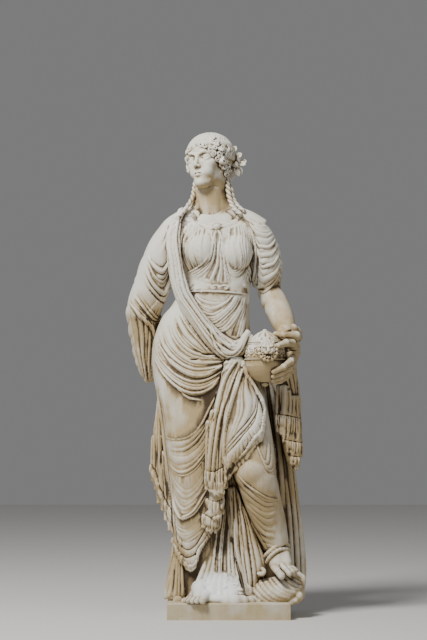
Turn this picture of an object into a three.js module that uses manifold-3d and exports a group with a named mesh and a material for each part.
// Classical marble statue: a draped woman who leans on the right leg, with the left foot on a
// boulder, the right arm wrapped in the mantle behind the back and a covered vessel on the left hip.
// Millimetres, +Z up, -Y is the statue's front and +X the statue's own left.
// The origin is the centre of the plinth's underside.
import * as THREE from "three";
import { LoftGeometry } from "three/addons/geometries/LoftGeometry.js";
import { mergeVertices } from "three/addons/utils/BufferGeometryUtils.js";
import Module from "manifold-3d";

const wasm = await Module();
wasm.setup();

// Driving dimensions.
const PLINTH = { width: 474, depth: 410, height: 65, chamfer: 5 };
const SEAM = 0.3; // the figure is bedded on its plinth with this gap
const GROUND = PLINTH.height + SEAM;
const WELD = 1e-3; // points closer than this are one point
const SLIVER = 3.2; // ridges lower than this are left off where solids cross
const BOX_POWER = 2.35; // a draped cross-section is a little squarer than an ellipse

const V = (x, y, z) => new THREE.Vector3(x, y, z);
const signedPower = (value, power) => Math.sign(value) * Math.abs(value) ** power;

// ---- solids -------------------------------------------------------------------------------------

function solidFrom(geometry) {
  const bare = geometry.index ? geometry.toNonIndexed() : geometry;
  const welded = mergeVertices(
    new THREE.BufferGeometry().setAttribute("position", bare.getAttribute("position")),
    WELD,
  );
  const build = (triVerts) =>
    new wasm.Manifold(
      new wasm.Mesh({ numProp: 3, vertProperties: welded.attributes.position.array, triVerts }),
    );
  const faces = new Uint32Array(welded.index.array);
  const made = build(faces);
  return made.volume() > 0 ? made : build(faces.slice().reverse());
}

function geometryFrom(solid) {
  const mesh = solid.getMesh();
  const points = new Float32Array(mesh.numVert * 3);
  for (let i = 0; i < mesh.numVert; i++) {
    points.set(mesh.vertProperties.subarray(i * mesh.numProp, i * mesh.numProp + 3), i * 3);
  }
  const geometry = new THREE.BufferGeometry();
  geometry.setAttribute("position", new THREE.BufferAttribute(points, 3));
  geometry.setIndex(new THREE.BufferAttribute(mesh.triVerts, 1));
  geometry.computeVertexNormals();
  return geometry;
}

const skin = (sections) =>
  solidFrom(new LoftGeometry(sections, { capStart: true, capEnd: true }));

// Rows of numbers, read through a smooth curve: row(t) for t from 0 to 1.
function smoothRows(rows) {
  const columns = rows[0].map((_, c) => {
    const curve = new THREE.CatmullRomCurve3(
      rows.map((row, i) => V(i, row[c], 0)),
      false,
      "catmullrom",
      0.5,
    );
    return (t) => curve.getPoint(t).y;
  });
  return (t) => columns.map((column) => column(t));
}

// A draped mass cut into level sections. Each level is [z, left x, right x, front y, back y].
// Pleats swell the section by `depth` between hollows, `count` of them right round.
function drape(levels, { around = 32, rings = 12, count = 0, depth = 0, turn = 0 } = {}) {
  const level = smoothRows(levels.toSorted((a, b) => a[0] - b[0]));
  const sections = [];
  for (let i = 0; i <= rings; i++) {
    const [z, left, right, front, back] = level(i / rings);
    const section = [];
    for (let j = 0; j < around; j++) {
      const angle = (j / around) * 2 * Math.PI;
      const swell = depth * Math.cos(count * angle + turn);
      section.push(
        V(
          (left + right) / 2 +
            ((right - left) / 2 + swell) * signedPower(Math.cos(angle), 2 / BOX_POWER),
          (front + back) / 2 +
            ((back - front) / 2 + swell) * signedPower(Math.sin(angle), 2 / BOX_POWER),
          z,
        ),
      );
    }
    sections.push(section);
  }
  return skin(sections);
}

// A limb, roll of cloth or fold along a smooth path. Each station is [x, y, z, radius, flat radius];
// the flat radius lies along `thin`, and is the same as the radius where it is left out.
function limb(stations, { around = 10, rings = 7, thin = V(0, 1, 0) } = {}) {
  const path = new THREE.CatmullRomCurve3(
    stations.map(([x, y, z]) => V(x, y, z)),
    false,
    "catmullrom",
    0.5,
  );
  const radii = smoothRows(stations.map(([, , , wide, flat]) => [wide, flat ?? wide]));
  const sections = [];
  for (let i = 0; i <= rings; i++) {
    const t = i / rings;
    const along = path.getTangent(t);
    const flatWay = thin.clone().addScaledVector(along, -thin.dot(along)).normalize();
    const wideWay = flatWay.clone().cross(along);
    const [wide, flat] = radii(t);
    const centre = path.getPoint(t);
    const section = [];
    for (let j = 0; j < around; j++) {
      const angle = (j / around) * 2 * Math.PI;
      section.push(
        centre
          .clone()
          .addScaledVector(wideWay, wide * Math.cos(angle))
          .addScaledVector(flatWay, flat * Math.sin(angle)),
      );
    }
    sections.push(section);
  }
  return skin(sections);
}

// An ellipsoid with its three radii, turned by yaw about +Z.
function ball([x, y, z], [rx, ry, rz], { around = 12, rings = 8, yaw = 0 } = {}) {
  const geometry = new THREE.SphereGeometry(1, around, rings)
    .rotateX(Math.PI / 2)
    .scale(rx, ry, rz)
    .rotateZ(yaw)
    .translate(x, y, z);
  return solidFrom(geometry);
}

// Folds spread evenly between a first and a last fold, each a list of [x, y, z, radius].
function foldFan(first, last, count, options) {
  return Array.from({ length: count }, (_, i) => {
    const t = count > 1 ? i / (count - 1) : 0;
    const between = first.map((station, k) =>
      station.map((value, c) => THREE.MathUtils.lerp(value, last[k][c], t)),
    );
    return limb(between, { around: 5, rings: 7, ...options });
  });
}

// ---- the lower drapery ----------------------------------------------------------------------------

// The mantle over the standing leg, the hips and the belly.
const standingSide = () =>
  drape(
    [
      [GROUND, -236, -30, -95, 120],
      [112, -240, -30, -92, 120],
      [188, -224, -25, -95, 115],
      [268, -213, -22, -102, 112],
      [367, -218, -18, -112, 110],
      [467, -228, -12, -120, 110],
      [567, -240, -4, -126, 112],
      [667, -252, 10, -130, 118],
      [766, -264, 40, -132, 124],
      [856, -280, 90, -132, 130],
      [946, -297, 118, -130, 134],
      [1026, -301, 112, -126, 132],
      [1095, -291, 92, -118, 126],
      [1165, -262, 84, -108, 114],
      [1225, -215, 82, -98, 104],
      [1285, -178, 86, -92, 98],
    ],
    { around: 30, rings: 16 },
  );

// The gown's upright pleats that show between the legs.
const innerPleats = () =>
  drape(
    [
      [GROUND, -60, 150, -62, 120],
      [141, -60, 140, -58, 120],
      [288, -55, 120, -62, 120],
      [437, -50, 110, -70, 122],
      [587, -50, 110, -85, 125],
      [746, -50, 118, -110, 128],
      [846, -60, 118, -120, 128],
    ],
    { around: 40, rings: 4, count: 10, depth: 6 },
  );

// The gown behind, which spreads to the statue's left.
const rearCurtain = () =>
  drape(
    [
      [GROUND, -150, 285, 20, 165],
      [103, -150, 300, 15, 168],
      [169, -150, 306, 12, 168],
      [288, -150, 298, 10, 165],
      [407, -150, 280, 10, 160],
      [547, -150, 262, 12, 155],
      [686, -150, 240, 16, 150],
      [836, -160, 205, 22, 145],
      [966, -170, 150, 30, 138],
    ],
    { around: 48, rings: 6, count: 12, depth: 8 },
  );

const bentLeg = () => [
  limb([[20, -20, 916, 105], [60, -70, 766, 100], [95, -110, 627, 86], [108, -132, 547, 76]], {
    around: 18,
  }),
  limb([[108, -128, 577, 70], [112, -128, 532, 76], [135, -100, 447, 72], [165, -75, 357, 62],
    [193, -66, 273, 46]], { around: 18, rings: 10 }),
];

const leftFoot = () =>
  limb([[194, -58, 263, 36], [204, -84, 228, 38], [220, -125, 193, 38, 26], [232, -170, 167, 34, 16]], {
    thin: V(0, 0, 1),
    rings: 6,
  });

const rightFoot = () =>
  limb([[-88, -60, 179, 38], [-104, -95, 136, 40, 36], [-124, -140, 98, 42, 24],
    [-140, -176, 81, 36, 16]], { thin: V(0, 0, 1), rings: 6 });

const boulder = () => ball([196, -95, 116], [102, 98, 58], { around: 16, rings: 10 });

// ---- the upper body -------------------------------------------------------------------------------

const torso = () =>
  drape(
    [
      [1225, -200, 84, -96, 100],
      [1285, -172, 86, -92, 96],
      [1336, -172, 90, -96, 98],
      [1396, -195, 98, -102, 104],
      [1452, -222, 112, -102, 108],
      [1498, -236, 128, -88, 106],
      [1533, -205, 118, -70, 96],
      [1561, -160, 60, -52, 84],
      [1587, -128, 0, -40, 76],
    ],
    { around: 28, rings: 10 },
  );

const breasts = () => [
  ball([-100, -62, 1430], [68, 58, 76]),
  ball([30, -62, 1424], [66, 58, 76]),
];

// The cloth over both shoulders, from one upper arm to the other.
const shoulders = () =>
  limb(
    [[-250, 12, 1470, 52], [-204, 14, 1524, 56], [-132, 14, 1558, 56], [-56, 14, 1574, 56],
      [12, 12, 1564, 52], [72, 8, 1544, 53], [126, 6, 1508, 56]],
    { around: 12, rings: 10 },
  );

const belt = () =>
  drape([[1262, -134, 92, -104, 60], [1290, -134, 93, -106, 60], [1321, -134, 95, -106, 60]], {
    around: 28,
    rings: 1,
  });

const neck = () => limb([[-62, 14, 1528, 68], [-68, 6, 1599, 61], [-74, 0, 1692, 60]], { rings: 4 });

// The right arm under the mantle: down to the elbow, and back behind the hips.
const wrappedArm = () => [
  limb([[-212, 5, 1510, 60], [-248, 15, 1442, 72], [-290, 36, 1331, 75], [-334, 60, 1210, 70],
    [-340, 70, 1175, 64], [-332, 88, 1085, 58], [-322, 100, 996, 48], [-308, 108, 921, 26]], {
    rings: 12,
    around: 12,
  }),
  limb([[-338, 76, 1180, 60], [-272, 132, 1095, 56], [-178, 160, 1048, 50], [-96, 158, 1036, 38]]),
];

const sleeve = () =>
  limb([[70, 0, 1518, 54], [112, 2, 1490, 64], [144, 8, 1417, 66], [150, 20, 1346, 64],
    [148, 30, 1290, 52]], { around: 16, rings: 9 });

const bareForearm = () =>
  limb([[156, 40, 1290, 46], [188, 4, 1225, 50], [212, -46, 1160, 48], [232, -92, 1098, 36]]);

const cuff = () => ball([226, -88, 1098], [47, 44, 28]);

const leftHand = () => [
  limb([[230, -105, 1085, 30], [250, -132, 1036, 28, 32], [240, -158, 986, 24, 30],
    [205, -180, 951, 17]], { rings: 7 }),
  limb([[240, -128, 1060, 18], [222, -168, 1054, 16], [196, -196, 1046, 13]], { rings: 5 }),
];

// ---- the head ---------------------------------------------------------------------------------------

const HEAD = { centre: [-76, -4, 1791], yaw: (-32 * Math.PI) / 180 };

// A point given from the head's centre: right, forward and up as the face sees it.
function onHead(side, forward, up) {
  const [x, y, z] = HEAD.centre;
  return V(side, -forward, up).applyAxisAngle(V(0, 0, 1), HEAD.yaw).add(V(x, y, z)).toArray();
}

const head = () => [
  ball(onHead(0, -8, 12), [82, 96, 98], { around: 16, rings: 11, yaw: HEAD.yaw }),
  ball(onHead(0, 34, -48), [56, 58, 68], { around: 14, rings: 10, yaw: HEAD.yaw }),
  limb([[...onHead(0, 84, 12), 7], [...onHead(0, 92, -6), 9], [...onHead(0, 98, -24), 13],
    [...onHead(0, 86, -30), 11]], { around: 8, rings: 4 }),
];

const hair = () => [
  ...[-1, 1].map((side) =>
    limb(
      [[...onHead(0, 74, 62), 17], [...onHead(side * 44, 62, 50), 20],
        [...onHead(side * 74, 22, 10), 24], [...onHead(side * 72, -18, -30), 26]],
      { around: 8, rings: 8 },
    ),
  ),
  ball(onHead(0, -88, -28), [46, 40, 42], { yaw: HEAD.yaw }),
  ball(onHead(70, -48, 8), [34, 32, 44], { yaw: HEAD.yaw }),
  ...[-1, 1].map((side) =>
    limb(
      [[...onHead(side * 66, -28, -42), 15], [...onHead(side * 62, -26, -100), 14],
        [side * 66 - 62, -14, 1600, 14], [side * 84 - 62, -38, 1548, 10]],
      { around: 8, rings: 8 },
    ),
  ),
];

// ---- the vessel ---------------------------------------------------------------------------------------

const VESSEL = { x: 141, y: -150, foot: 913, height: 198, radius: 78, knob: 15 };

function vessel() {
  const { height, radius } = VESSEL;
  const profile = [
    [0, 0], [0.42, 0.02], [0.72, 0.11], [0.92, 0.24], [1, 0.4], [1, 0.58], [0.97, 0.7],
    [0.78, 0.84], [0.42, 0.95], [0, 1],
  ].map(([r, h]) => new THREE.Vector2(r * radius, h * height));
  const body = new THREE.LatheGeometry(profile, 16)
    .rotateX(Math.PI / 2)
    .translate(VESSEL.x, VESSEL.y, VESSEL.foot);
  const mask = ball([VESSEL.x + 8, VESSEL.y - radius + 2, VESSEL.foot + 0.5 * height], [38, 20, 42]);
  const knob = ball([VESSEL.x, VESSEL.y, VESSEL.foot - 8], [VESSEL.knob, VESSEL.knob, 12], {
    around: 10,
    rings: 6,
  });
  return [solidFrom(body), mask, knob];
}

// ---- the mantle ---------------------------------------------------------------------------------------

// The edge that falls from the right shoulder, past the belt and across to the vessel.
const shoulderBand = () =>
  limb(
    [[-186, 40, 1561, 34, 20], [-200, -50, 1518, 34, 18], [-206, -96, 1427, 32, 18],
      [-190, -108, 1326, 32, 20], [-152, -116, 1230, 32, 22], [-100, -128, 1145, 34, 24],
      [-40, -136, 1075, 40, 28], [26, -146, 1048, 40, 30], [66, -150, 1081, 24, 24]],
    { around: 8, rings: 16 },
  );

// The thick bundle gathered at the hip beside the vessel.
const gatheredRoll = () =>
  limb([[-96, -122, 1105, 26], [-60, -142, 1032, 30], [-10, -152, 992, 32], [38, -156, 1016, 30],
    [66, -152, 1077, 20]], { around: 8, rings: 8 });

const hipFolds = () => [
  ...foldFan(
    [[-255, -66, 1170, 9], [-190, -112, 1085, 12], [-100, -132, 1026, 13], [-20, -140, 1010, 12]],
    [[-286, -60, 1060, 9], [-222, -122, 946, 13], [-110, -138, 886, 14], [6, -146, 966, 12]],
    3,
  ),
  ...foldFan(
    [[-262, -78, 886, 9], [-180, -124, 806, 12], [-90, -134, 786, 12], [-6, -142, 946, 11]],
    [[-232, -60, 547, 9], [-180, -108, 465, 12], [-110, -122, 457, 13], [-34, -122, 587, 11]],
    3,
  ),
  ...foldFan(
    [[-208, -64, 457, 8], [-172, -96, 318, 11], [-130, -106, 273, 12], [-56, -112, 417, 10]],
    [[-204, -64, 387, 7], [-170, -92, 250, 9], [-130, -100, 213, 10], [-60, -100, 328, 9]],
    2,
  ),
];

// Below the apron the cloth ends in two stepped, fringed tiers.
const hangingTiers = () => [
  limb([[-42, -126, 547, 38, 20], [-44, -122, 487, 36, 18], [-46, -116, 404, 34, 16]], {
    around: 8,
    rings: 3,
  }),
  limb([[-66, -112, 467, 34, 18], [-66, -112, 417, 34, 18], [-66, -108, 336, 32, 16]], {
    around: 8,
    rings: 3,
  }),
];

// The apron of gathered cloth that falls from the hip, with its fringed corner on the bent thigh.
const apron = () =>
  drape(
    [[1010, -12, 54, -166, -110], [900, -38, 92, -174, -90], [800, -64, 130, -188, -90],
      [720, -82, 136, -200, -90], [660, -90, 108, -202, -100], [600, -92, 60, -194, -100],
      [498, -90, -6, -168, -100]],
    { around: 22, rings: 9 },
  );

const leftTail = () => [
  drape([[1120, 210, 252, -90, -40], [1040, 212, 258, -84, -10], [950, 196, 266, -80, 20],
    [850, 186, 276, -78, 44], [760, 184, 286, -80, 50], [710, 188, 290, -80, 50]], {
    around: 18,
    rings: 5,
  }),
  drape([[720, 212, 290, -80, 48], [580, 238, 288, -76, 44]], { around: 14, rings: 1 }),
];

const rightTail = () => [
  drape([[1006, -296, -236, 20, 96], [846, -302, -236, 14, 100], [686, -306, -232, 10, 104],
    [532, -306, -240, 8, 106]], { around: 16, rings: 5 }),
  drape([[547, -290, -226, 14, 100], [473, -286, -224, 14, 100]], { around: 14, rings: 1 }),
  drape([[487, -262, -216, 12, 96], [387, -254, -214, 14, 94]], { around: 14, rings: 1 }),
];

const sleeveFolds = () =>
  foldFan(
    [[96, -62, 1478, 6], [140, -60, 1439, 9], [190, -28, 1465, 7]],
    [[104, -44, 1338, 6], [146, -46, 1297, 9], [196, 0, 1336, 7]],
    4,
    { around: 4, rings: 4 },
  );

const armFolds = () =>
  foldFan(
    [[-286, -38, 1417, 7], [-236, -62, 1378, 11], [-204, -60, 1407, 9]],
    [[-366, 8, 1245, 7], [-296, -18, 1200, 12], [-214, -40, 1275, 9]],
    3,
    { around: 4, rings: 4 },
  );

// ---- assembly -------------------------------------------------------------------------------------------

function figureSolid() {
  const joined = wasm.Manifold.union([
    standingSide(), innerPleats(), rearCurtain(), ...bentLeg(), leftFoot(), rightFoot(), boulder(),
    torso(), ...breasts(), shoulders(), belt(), neck(), ...wrappedArm(), sleeve(), bareForearm(), cuff(),
    ...leftHand(), ...head(), ...hair(), ...vessel(), shoulderBand(), gatheredRoll(), ...hipFolds(),
    ...hangingTiers(), apron(), ...leftTail(), ...rightTail(), ...sleeveFolds(), ...armFolds(),
  ]);
  const bed = solidFrom(new THREE.BoxGeometry(2000, 2000, 1000).translate(0, 0, GROUND - 500));
  // Shut pockets between crossing folds are filled: only the one outer body is kept.
  const [outer] = joined
    .subtract(bed)
    .simplify(SLIVER)
    .decompose()
    .toSorted((a, b) => b.volume() - a.volume());
  return outer;
}

function plinthGeometry() {
  const { width, depth, height, chamfer } = PLINTH;
  const rectangle = (inset, z) =>
    [[-1, -1], [1, -1], [1, 1], [-1, 1]].map(([sx, sy]) =>
      V(sx * (width / 2 - inset), sy * (depth / 2 - inset), z),
    );
  return geometryFrom(
    skin([rectangle(0, 0), rectangle(0, height - chamfer), rectangle(chamfer, height)]),
  );
}

const marble = new THREE.MeshStandardMaterial({ color: 0xc9bfa6, roughness: 0.62, metalness: 0 });
const plinthMarble = new THREE.MeshStandardMaterial({ color: 0xc2b184, roughness: 0.7, metalness: 0 });

const statue = new THREE.Group();

const plinth = new THREE.Mesh(plinthGeometry(), plinthMarble);
plinth.name = "plinth";
statue.add(plinth);

const figure = new THREE.Mesh(geometryFrom(figureSolid()), marble);
figure.name = "figure";
statue.add(figure);

export default statue;
